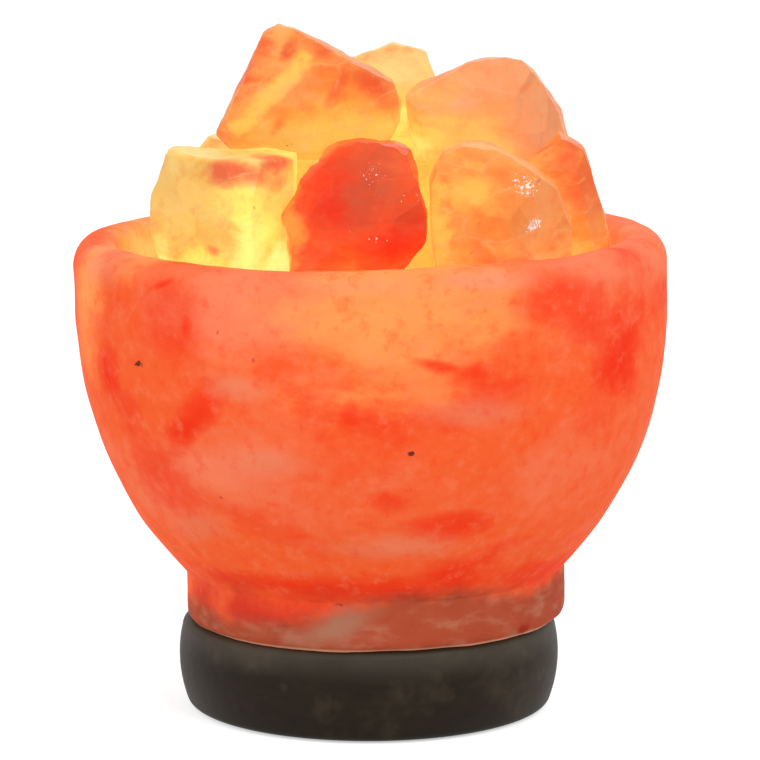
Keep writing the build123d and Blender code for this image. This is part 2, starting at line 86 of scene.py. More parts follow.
# %% Helpers for node trees
def add_node(tree, kind, inputs=None, **settings):
    """Adds one node; inputs maps a socket's name or number to a value, or to a socket to link from."""
    node = tree.nodes.new(kind)
    for setting, value in settings.items():
        setattr(node, setting, value)
    for socket, value in (inputs or {}).items():
        if isinstance(value, bpy.types.NodeSocket):
            tree.links.new(value, node.inputs[socket])
        else:
            node.inputs[socket].default_value = value
    return node


def maths(tree, operation, *values):
    """Adds a Math node and gives back its result."""
    inputs = dict(enumerate(values))
    return add_node(tree, "ShaderNodeMath", inputs, operation=operation).outputs[0]


def mix_colour(tree, share, first, second, blend="MIX"):
    """Mixes two colours and gives back the result."""
    node = add_node(
        tree,
        "ShaderNodeMix",
        {0: share, 6: first, 7: second},
        data_type="RGBA",
        blend_type=blend,
    )
    return node.outputs[2]


def soft_step(tree, value, low, high):
    """A mask that rises smoothly from 0 at low to 1 at high."""
    node = add_node(
        tree,
        "ShaderNodeMapRange",
        {0: value, 1: low, 2: high, 3: 0.0, 4: 1.0},
        interpolation_type="SMOOTHSTEP",
    )
    return node.outputs[0]


def new_material(name):
    """Starts an empty material, and gives it back with its tree and the place on the piece."""
    material = bpy.data.materials.new(name)
    material.use_nodes = True
    tree = material.node_tree
    tree.nodes.clear()
    return material, tree, add_node(tree, "ShaderNodeTexCoord").outputs["Object"]


def add_shader(tree, inputs):
    """Ends a material with its one shader and the output."""
    shader = add_node(tree, "ShaderNodeBsdfPrincipled", inputs)
    add_node(tree, "ShaderNodeOutputMaterial", {"Surface": shader.outputs[0]})


def new_group(name, inputs, outputs):
    """Starts a node group with named inputs and outputs, and gives back its tree and its inputs."""
    tree = bpy.data.node_groups.new(name, "ShaderNodeTree")
    kinds = {"colour": "NodeSocketColor", "number": "NodeSocketFloat", "vector": "NodeSocketVector"}
    for socket_name, kind, value in inputs:
        socket = tree.interface.new_socket(socket_name, in_out="INPUT", socket_type=kinds[kind])
        socket.default_value = value
    for socket_name, kind in outputs:
        tree.interface.new_socket(socket_name, in_out="OUTPUT", socket_type=kinds[kind])
    return tree, add_node(tree, "NodeGroupInput").outputs


# %% [markdown]
# ## Camera and light
# The photograph was taken from about a metre away, a little above the lamp, with a long lens, so the rim
# shows as a flat ellipse. The numbers come from fitting that ellipse and those of the foot and the base.
# The bowl's axis stands a little left of the picture's middle, so the camera stands a little to its right.

# %% Camera
CAMERA_DISTANCE = 1.057
CAMERA_HEIGHT = 0.2631
CAMERA_DOWN = math.radians(9.607)
CAMERA_RIGHT = 0.0029
SENSOR_WIDTH = 36.0
PICTURE_WIDTH = 760
FOCAL_PIXELS = 4178.7

camera_data = bpy.data.cameras.new("camera")
camera_data.sensor_fit = "HORIZONTAL"
camera_data.sensor_width = SENSOR_WIDTH
camera_data.lens = FOCAL_PIXELS / PICTURE_WIDTH * SENSOR_WIDTH
camera = bpy.data.objects.new("camera", camera_data)
camera.location = (CAMERA_RIGHT, -CAMERA_DISTANCE, CAMERA_HEIGHT)
camera.rotation_euler = (math.radians(90) - CAMERA_DOWN, 0, 0)
bpy.context.scene.collection.objects.link(camera)
bpy.context.scene.camera = camera
bpy.context.scene.view_settings.view_transform = "Standard"
print("lens:", round(camera_data.lens, 1), "mm")

# %% [markdown]
# The background is plain white. The world is white where the camera, a reflection or a view through glass
# looks at it, and dimmer as a lamp, so that it doesn't wash the colours out. Three soft lamps do the rest: a
# broad one from the upper right, which lights the right-hand crystals and gives them soft highlights, a
# weaker one from the left, and one from behind, for the views from there. The small bright glints on the
# right-hand crystals are painted highlights in their finish.

# %% World
WORLD_LIGHT = 0.55
WHITE = (1, 1, 1, 1)

world = bpy.data.worlds.new("plain_white")
bpy.context.scene.world = world
world.use_nodes = True
sky = world.node_tree
sky.nodes.clear()
rays = add_node(sky, "ShaderNodeLightPath").outputs
seen = maths(sky, "MAXIMUM", rays["Is Camera Ray"], rays["Is Transmission Ray"])
seen = maths(sky, "MAXIMUM", seen, rays["Is Glossy Ray"])
strength = add_node(sky, "ShaderNodeMapRange", {0: seen, 3: WORLD_LIGHT, 4: 1.0}).outputs[0]
backdrop = add_node(sky, "ShaderNodeBackground", {"Color": WHITE, "Strength": strength})
add_node(sky, "ShaderNodeOutputWorld", {"Surface": backdrop.outputs[0]})
print("world light:", WORLD_LIGHT)


# %% Lamps
def soft_lamp(name, place, aim, size, power):
    """A square area lamp that looks at a point."""
    data = bpy.data.lights.new(name, "AREA")
    data.size = size
    data.energy = power
    lamp = bpy.data.objects.new(name, data)
    lamp.location = place
    direction = lamp.location - Vector(aim)
    lamp.rotation_euler = direction.to_track_quat("Z", "Y").to_euler()
    bpy.context.scene.collection.objects.link(lamp)
    print(name, power, "W")


middle = (0, 0, 0.1)
soft_lamp("key_lamp", (0.45, -0.75, 0.85), middle, 0.45, 5.0)
soft_lamp("fill_lamp", (-0.8, -0.6, 0.5), middle, 0.6, 2.2)
soft_lamp("back_lamp", (0.2, 0.9, 0.8), middle, 0.6, 2.5)

# %% [markdown]
# The floor is a plain pale sheet. It glows for the camera and in reflections alone, which brings it up to
# the background's white, and stays a plain matt surface otherwise, so the lamp's shadow still shows on it.
# Right under the base it doesn't, so the groove at the back looks as dark as it should: there it only sheds
# a faint light upwards, by which the underside can be looked at.

# %% Floor
FLOOR_SIZE = 6.0
FLOOR_LIFT = 0.75
BASE_FOOT = 0.047
BASE_FOOT_EDGE = 0.008
UNDER_LIGHT = 0.35

bpy.ops.object.select_all(action="DESELECT")
bpy.ops.mesh.primitive_plane_add(size=FLOOR_SIZE, location=(0, 0, 0))
floor = bpy.context.object
floor.name = "floor"
floor_material, tree, place = new_material("pale_floor")
rays = add_node(tree, "ShaderNodeLightPath").outputs
seen = maths(tree, "MAXIMUM", rays["Is Camera Ray"], rays["Is Glossy Ray"])
away = add_node(tree, "ShaderNodeVectorMath", {0: place}, operation="LENGTH").outputs["Value"]
open_floor = soft_step(tree, away, BASE_FOOT - BASE_FOOT_EDGE, BASE_FOOT)
lift = maths(tree, "MULTIPLY", seen, maths(tree, "MULTIPLY", open_floor, FLOOR_LIFT))
unseen = maths(tree, "SUBTRACT", 1.0, maths(tree, "MAXIMUM", seen, open_floor))
lift = maths(tree, "MULTIPLY_ADD", unseen, UNDER_LIGHT, lift)
glow = add_node(tree, "ShaderNodeEmission", {"Color": WHITE, "Strength": lift})
matt = add_node(tree, "ShaderNodeBsdfDiffuse", {"Color": (0.5, 0.5, 0.5, 1)})
both = add_node(tree, "ShaderNodeAddShader", {0: glow.outputs[0], 1: matt.outputs[0]})
# From below the floor is clear, so that the lamp's underside can be looked at.
clear = add_node(tree, "ShaderNodeBsdfTransparent", {"Color": WHITE})
behind = add_node(tree, "ShaderNodeNewGeometry").outputs["Backfacing"]
sides = add_node(tree, "ShaderNodeMixShader", {0: behind, 1: both.outputs[0], 2: clear.outputs[0]})
add_node(tree, "ShaderNodeOutputMaterial", {"Surface": sides.outputs[0]})
floor.data.materials.append(floor_material)
print("floor:", FLOOR_SIZE, "m square")

# %% [markdown]
# ## Lit salt
# Rock salt isn't one colour. Cloudy pale parts, clear orange parts and deep red iron-stained veins run
# through each other, in patches that are bent and folded as the salt bed was. The bulb's light comes out
# strongest where the salt is thin, clear and close to it, and there it is yellow; where it has come a long
# way, only orange and red are left. All colours here are written as the eye sees them on the lit lamp: a
# part of each is the salt's own colour and the rest is that light, painted in as the salt's own glow.
#
# Besides the patches that run all through it, a piece of salt has its own marks: a stain, a warm clear spot
# where more light is painted in, a frosted face. Each of those is a soft-edged ball, flattened or drawn
# out, with a ragged edge, and it may slope up to the right. The group below draws one, and keeps whichever
# is stronger of the new mark and those under it.

# %% A group for one soft mark
MARK_INPUTS = [
    ("Place", "vector", (0, 0, 0)),
    ("Ragged", "number", 0.0),
    ("Centre", "vector", (0, 0, 0)),
    ("Size", "vector", (0.01, 0.01, 0.01)),
    ("Slope", "number", 0.0),
    ("Strength", "number", 1.0),
    ("Under", "number", 0.0),
]


def build_mark():
    tree, given = new_group("soft_mark", MARK_INPUTS, [("Mask", "number")])
    inputs = {0: given["Place"], 1: given["Centre"]}
    offset = add_node(tree, "ShaderNodeVectorMath", inputs, operation="SUBTRACT").outputs[0]
    inputs = {"Vector": offset, "Axis": (0, 1, 0), "Angle": given["Slope"]}
    offset = add_node(tree, "ShaderNodeVectorRotate", inputs).outputs[0]
    inputs = {0: offset, 1: given["Size"]}
    offset = add_node(tree, "ShaderNodeVectorMath", inputs, operation="DIVIDE").outputs[0]
    away = add_node(tree, "ShaderNodeVectorMath", {0: offset}, operation="LENGTH").outputs["Value"]
    inside = soft_step(tree, maths(tree, "ADD", away, given["Ragged"]), 1.3, 0.1)
    strong = maths(tree, "MULTIPLY", inside, given["Strength"])
    add_node(tree, "NodeGroupOutput", {"Mask": maths(tree, "MAXIMUM", strong, given["Under"])})
    return tree


soft_mark = build_mark()
print("mark group:", len(soft_mark.nodes), "nodes")


def mark(tree, place, ragged, centre, size, strength=1.0, under=0.0, slope=0.0):
    """Places one mark, with its middle and its reach in millimetres, and gives back the mask so far."""
    inputs = {
        "Place": place,
        "Ragged": ragged,
        "Centre": tuple(c * MM for c in centre),
        "Size": tuple(c * MM for c in size),
        "Slope": math.radians(slope),
        "Strength": strength,
        "Under": under,
    }
    return add_node(tree, "ShaderNodeGroup", inputs, node_tree=soft_mark).outputs[0]


# %% [markdown]
# The next group holds what all the salt shares. It is given the place twice: once true, for grain and
# specks, and once as the salt's bedding, which is turned, stretched and measured in patches. It is also
# given the way the surface faces, because each broken face lets the light out a little differently.

# %% The rock salt group
SALT_INPUTS = [
    ("Place", "vector", (0, 0, 0)),
    ("Bedding", "vector", (0, 0, 0)),
    ("Facing", "vector", (0, 0, 1)),
    ("Pale", "colour", (0.97, 0.3, 0.17, 1)),
    ("Body", "colour", (0.95, 0.15, 0.05, 1)),
    ("Red", "colour", (0.9, 0.05, 0.015, 1)),
    ("Yellow", "colour", (1, 0.5, 0.1, 1)),
    ("Frost", "colour", (0.9, 0.4, 0.3, 1)),
    ("Pale Share", "number", 0.5),
    ("Vein Share", "number", 0.4),
    ("Warm", "number", 0.0),
    ("Hot", "number", 0.0),
    ("Stained", "number", 0.0),
    ("Frosted", "number", 0.0),
    # Sparkling asks for painted glints: near-white highlights laid into the tint and the glow.
    ("Sparkling", "number", 0.0),
    ("Specked", "number", 0.0),
    ("Cracks", "number", 0.3),
    ("Faces", "number", 0.3),
    ("Mottled", "number", 0.3),
    ("Glow", "number", 0.46),
    ("Rough", "number", 0.3),
]
SALT_OUTPUTS = [("Tint", "colour"), ("Light", "number"), ("Roughness", "number"), ("Height", "number")]


# Scales of the fine patterns, in repeats to the metre.
MOTTLE_SCALE = 260.0
GRAIN_SCALE = 900.0
GLINT_SCALE = 1300.0
SPECK_SCALE = 120.0
SPECK_EDGE_SCALE = 1300.0
# Steps away from each other in the noise, so that patterns drawn from it have nothing in common.
VEINS_APART = (7.3, 2.1, 4.4)
WISPS_APART = (1.7, 9.2, 3.3)
FACES_APART = (2.2, 5.1, 0.4)
SPECKS_APART = (0.31, 0.17, 0.05)
# Colours that all the salt shares.
HOT_LIGHT = (1.0, 0.93, 0.3, 1)
PAINTED_GLINT = (1.0, 0.94, 0.88, 1)
RUST_SPECK = (0.4, 0.03, 0.01, 1)
DARK_SPECK = (0.12, 0.03, 0.015, 1)


def build_rock_salt():
    tree, given = new_group("rock_salt", SALT_INPUTS, SALT_OUTPUTS)

    def noise(place, scale, detail, roughness=0.55):
        inputs = {"Vector": place, "Scale": scale, "Detail": detail, "Roughness": roughness}
        return add_node(tree, "ShaderNodeTexNoise", inputs)

    def moved(place, by):
        return add_node(tree, "ShaderNodeVectorMath", {0: place, 1: by}, operation="ADD").outputs[0]

    def pushed(place, scale, reach):
        """The place, pushed about by a slow noise, so that what is drawn on it is bent."""
        by = noise(place, scale, 3.0).outputs["Color"]
        inputs = {0: by, 1: (reach, reach, reach), 2: place}
        return add_node(tree, "ShaderNodeVectorMath", inputs, operation="MULTIPLY_ADD").outputs[0]

    def cells(place, scale, feature="F1"):
        inputs = {"Vector": place, "Scale": scale}
        return add_node(tree, "ShaderNodeTexVoronoi", inputs, feature=feature).outputs

    def one_number(colour):
        return add_node(tree, "ShaderNodeSeparateColor", {0: colour}).outputs[0]

    def times(*values):
        product = values[0]
        for value in values[1:]:
            product = maths(tree, "MULTIPLY", product, value)
        return product

    def centred(value):
        """A pattern that lies about 0.5, moved to lie about 0."""
        return maths(tree, "SUBTRACT", value, 0.5)

    def torn(mask, by, reach, full):
        """The mask with an edge that a noise has torn, still 0 where it was 0."""
        bent = maths(tree, "MULTIPLY_ADD", centred(by), reach, mask)
        return times(mask, soft_step(tree, bent, 0.0, full))

    # Patches and veins, folded as the salt bed was.
    folded = pushed(given["Bedding"], 0.5, 1.6)
    clouds = noise(folded, 0.6, 5.0, 0.5).outputs[0]
    pale_from = maths(tree, "MULTIPLY_ADD", given["Pale Share"], -0.3, 0.62)
    pale = soft_step(tree, clouds, pale_from, maths(tree, "ADD", pale_from, 0.24))
    veins = noise(moved(folded, VEINS_APART), 0.85, 5.0, 0.52).outputs[0]
    vein_from = maths(tree, "MULTIPLY_ADD", given["Vein Share"], -0.3, 0.64)
    vein = soft_step(tree, veins, vein_from, maths(tree, "ADD", vein_from, 0.2))
    wisps = noise(moved(folded, WISPS_APART), 2.4, 5.0, 0.6).outputs[0]
    mottle = noise(given["Place"], MOTTLE_SCALE, 5.0, 0.65).outputs[0]
    grain = noise(given["Place"], GRAIN_SCALE, 3.0).outputs[0]

    # Cleavage planes inside: each lets the light through a little differently, and they meet in cracks.
    bent = pushed(given["Bedding"], 1.2, 0.4)
    plane = one_number(cells(bent, 1.0)["Color"])
    crack = soft_step(tree, cells(bent, 1.0, "DISTANCE_TO_EDGE")["Distance"], 0.045, 0.0)
    crack = times(crack, soft_step(tree, wisps, 0.4, 0.6), given["Cracks"])
    face = noise(moved(given["Facing"], FACES_APART), 0.9, 1.0).outputs[0]
    face = maths(tree, "ADD", centred(face), times(centred(plane), 0.22))

    # Specks: a few by chance, and those that a mark asks for.
    dotted = pushed(moved(given["Place"], SPECKS_APART), SPECK_EDGE_SCALE, 1.6 * MM)
    dots = cells(dotted, SPECK_SCALE)
    few = maths(tree, "GREATER_THAN", one_number(dots["Color"]), 0.9)
    speck = times(soft_step(tree, dots["Distance"], 0.08, 0.04), few)
    own_speck = maths(tree, "MULTIPLY_ADD", centred(grain), 1.6, given["Specked"])
    asked_for = maths(tree, "GREATER_THAN", given["Specked"], 0.02)
    own_speck = times(soft_step(tree, own_speck, 0.3, 0.6), asked_for)
    # Painted glints: where a broken face glints, its grains are painted bright one by one, and then together.
    glints = noise(given["Place"], GLINT_SCALE, 3.0, 0.75).outputs[0]
    painted_sparkle = soft_step(tree, maths(tree, "MULTIPLY_ADD", given["Sparkling"], 0.34, glints), 0.8, 0.86)

    warm = torn(given["Warm"], clouds, 0.5, 0.6)
    stained = torn(given["Stained"], veins, 0.7, 0.5)
    frosted = times(given["Frosted"], soft_step(tree, wisps, 0.2, 0.55))
    layers = [
        (pale, given["Pale"]),
        (times(vein, 0.85), given["Red"]),
        (warm, given["Yellow"]),
        (stained, given["Red"]),
        (frosted, given["Frost"]),
        (times(soft_step(tree, wisps, 0.5, 0.75), 0.3), given["Pale"]),
        (times(soft_step(tree, mottle, 0.5, 0.72), given["Mottled"]), given["Red"]),
        (times(soft_step(tree, mottle, 0.5, 0.28), given["Mottled"]), given["Pale"]),
        (given["Hot"], HOT_LIGHT),
        (crack, given["Frost"]),
        (painted_sparkle, PAINTED_GLINT),
        (times(speck, 0.5), RUST_SPECK),
        (times(own_speck, 0.85), DARK_SPECK),
    ]
    tint = given["Body"]
    for share, colour in layers:
        tint = mix_colour(tree, share, tint, colour)

    light = maths(tree, "MULTIPLY_ADD", face, given["Faces"], given["Glow"])
    gains = ((warm, 0.16), (given["Hot"], 0.3), (frosted, -0.12), (own_speck, -0.35))
    for share, gain in gains:
        light = maths(tree, "MULTIPLY_ADD", share, gain, light)

    rough = maths(tree, "MULTIPLY_ADD", grain, 0.25, given["Rough"])
    rough = maths(tree, "MULTIPLY_ADD", pale, 0.12, rough)
    height = maths(tree, "MULTIPLY_ADD", wisps, 0.6, maths(tree, "MULTIPLY", grain, 0.12))
    height = maths(tree, "MULTIPLY_ADD", mottle, 0.5, height)
    outputs = {"Tint": tint, "Light": light, "Roughness": rough, "Height": height}
    add_node(tree, "NodeGroupOutput", outputs)
    return tree


rock_salt = build_rock_salt()
print("rock salt group:", len(rock_salt.nodes), "nodes")


# %% [markdown]
# A material for one piece of salt is put together from those groups. Its marks are given as a list, in
# millimetres: what it is, where its middle is, how far it reaches along x, y and z, how strong it is, and for
# some how many degrees it slopes. Every piece also has painted light near the bulb: it is warmer and
# brighter there.


# %% A salt material
BULB = (0.0, 0.0, 0.098)
BULB_LIGHT_RAGGED = 0.012
OWN_COLOUR = (0.6, 0.6, 0.6, 1)


def salt_material(name, marks, patch_size, turn, stretch, near_bulb, **values):
    """Builds one salt finish; values are inputs of the rock_salt group, with _ for a space."""
    material, tree, place = new_material(name)
    inputs = {
        "Vector": place,
        "Rotation": (0, math.radians(turn), 0),
        "Scale": tuple(share / patch_size for share in stretch),
    }
    bedding = add_node(tree, "ShaderNodeMapping", inputs).outputs[0]
    salt = add_node(tree, "ShaderNodeGroup", node_tree=rock_salt)
    tree.links.new(place, salt.inputs["Place"])
    tree.links.new(bedding, salt.inputs["Bedding"])
    tree.links.new(place.node.outputs["Normal"], salt.inputs["Facing"])

    inputs = {"Vector": bedding, "Scale": 1.3, "Detail": 5.0, "Roughness": 0.6}
    ragged = add_node(tree, "ShaderNodeTexNoise", inputs).outputs[0]
    ragged = maths(tree, "MULTIPLY_ADD", ragged, 2.0, -1.0)
    inputs = {0: place, 1: BULB}
    away = add_node(tree, "ShaderNodeVectorMath", inputs, operation="DISTANCE").outputs["Value"]
    away = maths(tree, "MULTIPLY_ADD", ragged, BULB_LIGHT_RAGGED, away)
    masks = dict.fromkeys(("Hot", "Stained", "Frosted", "Sparkling", "Specked"), 0.0)
    # Painted light from the bulb: each piece is warmer and brighter within reach of it.
    masks["Warm"] = soft_step(tree, away, near_bulb[1], near_bulb[0])
    for kind, centre, size, strength, *slope in marks:
        masks[kind] = mark(tree, place, ragged, centre, size, strength, masks[kind], *slope)
    for kind, mask in masks.items():
        if isinstance(mask, bpy.types.NodeSocket):
            tree.links.new(mask, salt.inputs[kind])
    for key, value in values.items():
        socket = salt.inputs[key.replace("_", " ").title()]
        is_colour = socket.type == "RGBA"
        socket.default_value = (*value, 1.0) if is_colour else value
    inputs = {"Height": salt.outputs["Height"], "Distance": 0.5 * MM, "Strength": 0.5}
    bumps = add_node(tree, "ShaderNodeBump", inputs)
    base = mix_colour(tree, 1.0, salt.outputs["Tint"], OWN_COLOUR, "MULTIPLY")
    light = mix_colour(tree, 1.0, salt.outputs["Tint"], salt.outputs["Light"], "MULTIPLY")
    inputs = {
        "Base Color": base,
        "Roughness": salt.outputs["Roughness"],
        "Normal": bumps.outputs[0],
        "Emission Color": light,
        "Emission Strength": 1.0,
        "Specular IOR Level": 0.12,
    }
    add_shader(tree, inputs)
    return material


# %% [markdown]
# ## The bowl
# The real bowl is turned from a block and finished by hand, so it is round, but not truly. It is made the
# same way here: a circle at the foot is drawn up ring by ring, like a pot on a wheel, each ring resized to
# the section's radius. It is drawn upright with its underside at zero, and then set on the base with the
# slight lean that the real one has. Then the surface is pushed about by a millimetre or less, which takes
# the machine look out of it.

# %% The bowl's section
BASE_TOP = 23.4
NOTCH_HEIGHT = 36.5
FOOT_RADIUS = 49.0
BOWL_SHIFT = 1.8
BOWL_LEAN = math.radians(0.8)
BOWL_RADIUS = 76.1
BOWL_TOP = 122.5
BOWL_WALL = 12.0
BOWL_FLOOR = 50.0
SIDE_CURVE = 100.0
WIDEST_HEIGHT = 105.0
BORE_RADIUS = 19.0
FOOT_ROUND = 2.5
RIM_OUTER_ROUND = 6.5
RIM_INNER_ROUND = 3.5
BOWL_SEGMENTS = 176


def side(curve, height):
    """The side's radius at a height, for a section that is an arc of this radius."""
    return BOWL_RADIUS - SIDE_CURVE + math.sqrt(curve**2 - (WIDEST_HEIGHT - height) ** 2)


def steps(first, last, count):
    return [first + (last - first) * i / count for i in range(count + 1)]


def quarter_turn(count):
    return [math.radians(turn) for turn in steps(0, 90, count)]


def bowl_section():
    """Rings of (radius, height, centre), from the bore's lower edge round the outside and back down."""
    rings = [(BORE_RADIUS, BASE_TOP, 0.0)]
    rings += [(r, BASE_TOP, BOWL_SHIFT) for r in (26.0, 34.0, 41.0, 45.0)]
    for angle in quarter_turn(4):
        radius = FOOT_RADIUS - FOOT_ROUND + FOOT_ROUND * math.sin(angle)
        rings.append((radius, BASE_TOP + FOOT_ROUND - FOOT_ROUND * math.cos(angle), BOWL_SHIFT))
    rings += [(FOOT_RADIUS, z, BOWL_SHIFT) for z in (27.5, 29.5, 31.5, 33.5, 35.0, 36.0)]
    rings.append((side(SIDE_CURVE, NOTCH_HEIGHT) - 0.2, NOTCH_HEIGHT, BOWL_SHIFT))
    rings.append((side(SIDE_CURVE, NOTCH_HEIGHT) + 0.6, NOTCH_HEIGHT + 0.5, BOWL_SHIFT))
    for z in steps(38.0, WIDEST_HEIGHT, 36):
        rings.append((side(SIDE_CURVE, z), z, BOWL_SHIFT))
    rings += [(BOWL_RADIUS, z, BOWL_SHIFT) for z in (107.5, 110.0, 112.5, 115.0)]
    for angle in quarter_turn(6):
        radius = BOWL_RADIUS - RIM_OUTER_ROUND + RIM_OUTER_ROUND * math.cos(angle)
        height = BOWL_TOP - RIM_OUTER_ROUND + RIM_OUTER_ROUND * math.sin(angle)
        rings.append((radius, height, BOWL_SHIFT))
    inner = BOWL_RADIUS - BOWL_WALL
    for angle in quarter_turn(5):
        radius = inner + RIM_INNER_ROUND - RIM_INNER_ROUND * math.sin(angle)
        height = BOWL_TOP - RIM_INNER_ROUND + RIM_INNER_ROUND * math.cos(angle)
        rings.append((radius, height, BOWL_SHIFT))
    rings += [(inner, z, BOWL_SHIFT) for z in (115.5, 112.0, 108.5)]
    for z in steps(WIDEST_HEIGHT, 56.0, 16):
        rings.append((side(SIDE_CURVE - BOWL_WALL, z), z, BOWL_SHIFT))
    rings += [(45.6, 53.0, BOWL_SHIFT), (43.2, 51.0, BOWL_SHIFT), (40.0, BOWL_FLOOR, BOWL_SHIFT)]
    rings += [(34.0, BOWL_FLOOR, BOWL_SHIFT), (26.0, BOWL_FLOOR, 1.0), (BORE_RADIUS, BOWL_FLOOR, 0.4)]
    rings += [(BORE_RADIUS, z, 0.1) for z in (45.0, 40.0, 35.0, 30.0)]
    return rings


section = bowl_section()
print("rings in the bowl:", len(section))


# %% Draw the bowl up ring by ring
def draw_up(name, rings, segments):
    """Starts with a circle and extrudes it through the rings."""
    radius, height, centre = rings[0]
    bpy.ops.object.select_all(action="DESELECT")
    bpy.ops.mesh.primitive_circle_add(
        vertices=segments, radius=radius * MM, location=(centre * MM, 0, height * MM)
    )
    piece = bpy.context.object
    piece.name = name
    bpy.ops.object.transform_apply(location=True, rotation=False, scale=False)
    bpy.ops.object.mode_set(mode="EDIT")
    bpy.ops.mesh.select_all(action="SELECT")
    for new_radius, new_height, new_centre in rings[1:]:
        bpy.ops.mesh.extrude_edges_move()
        bpy.ops.transform.translate(
            value=((new_centre - centre) * MM, 0, (new_height - height) * MM)
        )
        grown = new_radius / radius
        here = (new_centre * MM, 0, new_height * MM)
        bpy.ops.transform.resize(value=(grown, grown, 1), center_override=here)
        radius, height, centre = new_radius, new_height, new_centre
    bpy.ops.object.mode_set(mode="OBJECT")
    return piece


upright = [(radius, height - BASE_TOP, centre) for radius, height, centre in section]
bowl = draw_up("carved_bowl", upright, BOWL_SEGMENTS)
# The last ring is closed onto the first.
last_ring = len(bowl.data.vertices) - BOWL_SEGMENTS
for vertex in bowl.data.vertices:
    vertex.select = vertex.index < BOWL_SEGMENTS or vertex.index >= last_ring
take_up(bowl)
bpy.ops.object.mode_set(mode="EDIT")
bpy.ops.mesh.select_mode(type="EDGE")
bpy.ops.object.mode_set(mode="OBJECT")
for edge in bowl.data.edges:
    edge.select = all(bowl.data.vertices[i].select for i in edge.vertices)
bpy.ops.object.mode_set(mode="EDIT")
bpy.ops.mesh.bridge_edge_loops()
bpy.ops.mesh.select_all(action="SELECT")
bpy.ops.mesh.normals_make_consistent(inside=False)
bpy.ops.object.mode_set(mode="OBJECT")
apply_modifier(bowl, "SUBSURF", "finer", levels=1, render_levels=1, subdivision_type="CATMULL_CLARK")
print(count_faces(bowl))


# %% [markdown]
# Carving marks are wide and shallow, with a finer unevenness over them, and both are drawn by soft cloud
# textures that move the surface along its normal.


# %% Carve the bowl
def cloud_texture(name, size, depth):
    texture = bpy.data.textures.new(name, "CLOUDS")
    texture.noise_scale = size
    texture.noise_depth = depth
    return texture


def push(piece, name, texture, depth, middle_level):
    """Moves the surface along its normal by a texture; above a middle level of 0.5, more in than out."""
    apply_modifier(
        piece,
        "DISPLACE",
        name,
        texture=texture,
        strength=depth * MM,
        mid_level=middle_level,
        texture_coords="LOCAL",
    )


bowl.location = (0, 0, BASE_TOP * MM)
bowl.rotation_euler = (0, -BOWL_LEAN, 0)
take_up(bowl)
bpy.ops.object.transform_apply(location=True, rotation=True, scale=False)
push(bowl, "carving", cloud_texture("wide_carving", 0.045, 1), 1.6, 0.62)
push(bowl, "unevenness", cloud_texture("fine_carving", 0.011, 2), 0.5, 0.5)
take_up(bowl)
bpy.ops.object.shade_smooth()
print("bowl:", [round(length / MM, 1) for length in bowl.dimensions], "mm")

# %% [markdown]
# The bowl's marks go from the front round to the back. Light comes through best in the middle of the wall,
# level with the bulb, so that is where it is orange; the red is strongest at both sides, low down, and where
# the bowl meets its foot. The foot has a face of cloudy grey-brown salt with hardly any light in it.

